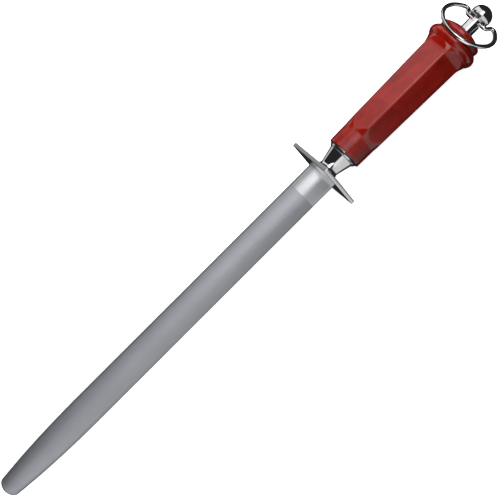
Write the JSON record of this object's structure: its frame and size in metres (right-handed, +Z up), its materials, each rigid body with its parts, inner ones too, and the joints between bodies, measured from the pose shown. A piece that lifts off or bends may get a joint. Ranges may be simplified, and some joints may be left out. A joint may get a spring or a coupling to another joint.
{
  "type": "knife sharpening steel",
  "caption": "Oval sharpening steel with a square guard, flared chrome bolster, six-sided ruby plastic handle, and a ball swivel that carries a wire hanging ring.",
  "frame": {"origin": "where the steel's long axis meets the guard's blade-side face", "axes": "+X along the steel from the blade's tip to the hanging ring, +Z up with the steel lying on one side of its square guard, so that the blade's wide faces look 45 degrees between -Y and +Z, and +Y and -Z"},
  "size_m": [0.4644, 0.0438, 0.0432],
  "materials": {
    "rod_steel": "fine lengthwise and crosswise micro-grooves, polished band by the guard",
    "guard_chrome": "polished chrome plate",
    "bolster_chrome": "polished chrome on a casting",
    "ferrule_chrome": "polished chrome",
    "grip_plastic": "glossy ruby plastic with a faint marbling",
    "washer_zinc": "zinc plated",
    "spring_steel": "blued spring steel",
    "sleeve_chrome": "polished chrome",
    "retainer_steel": "plain steel",
    "ball_chrome": "mirror polished chrome",
    "ring_chrome": "polished chrome wire"
  },
  "bodies": {
    "steel": {"sharpening_rod": "rod_steel", "guard_plate": "guard_chrome", "bolster": "bolster_chrome", "ferrule_ring": "ferrule_chrome", "handle_grip": "grip_plastic", "clamp_washer": "washer_zinc", "spring_washer": "spring_steel", "swivel_sleeve_nut": "sleeve_chrome"},
    "swivel": {"swivel_ball_pin": "ball_chrome", "retaining_washer": "retainer_steel"},
    "ring": {"hanging_ring": "ring_chrome"}
  },
  "joints": [
    {"name": "ring_swivel", "type": "hinge", "parent": "steel", "child": "swivel", "pos_m": [0.14771, 0, 0], "axis": [1, 0, 0], "continuous": true},
    {"name": "ring_swing", "type": "hinge", "parent": "swivel", "child": "ring", "pos_m": [0.14771, 0, 0], "axis": [0, 0.8387, 0.5446], "range_deg": [0, 273]}
  ]
}
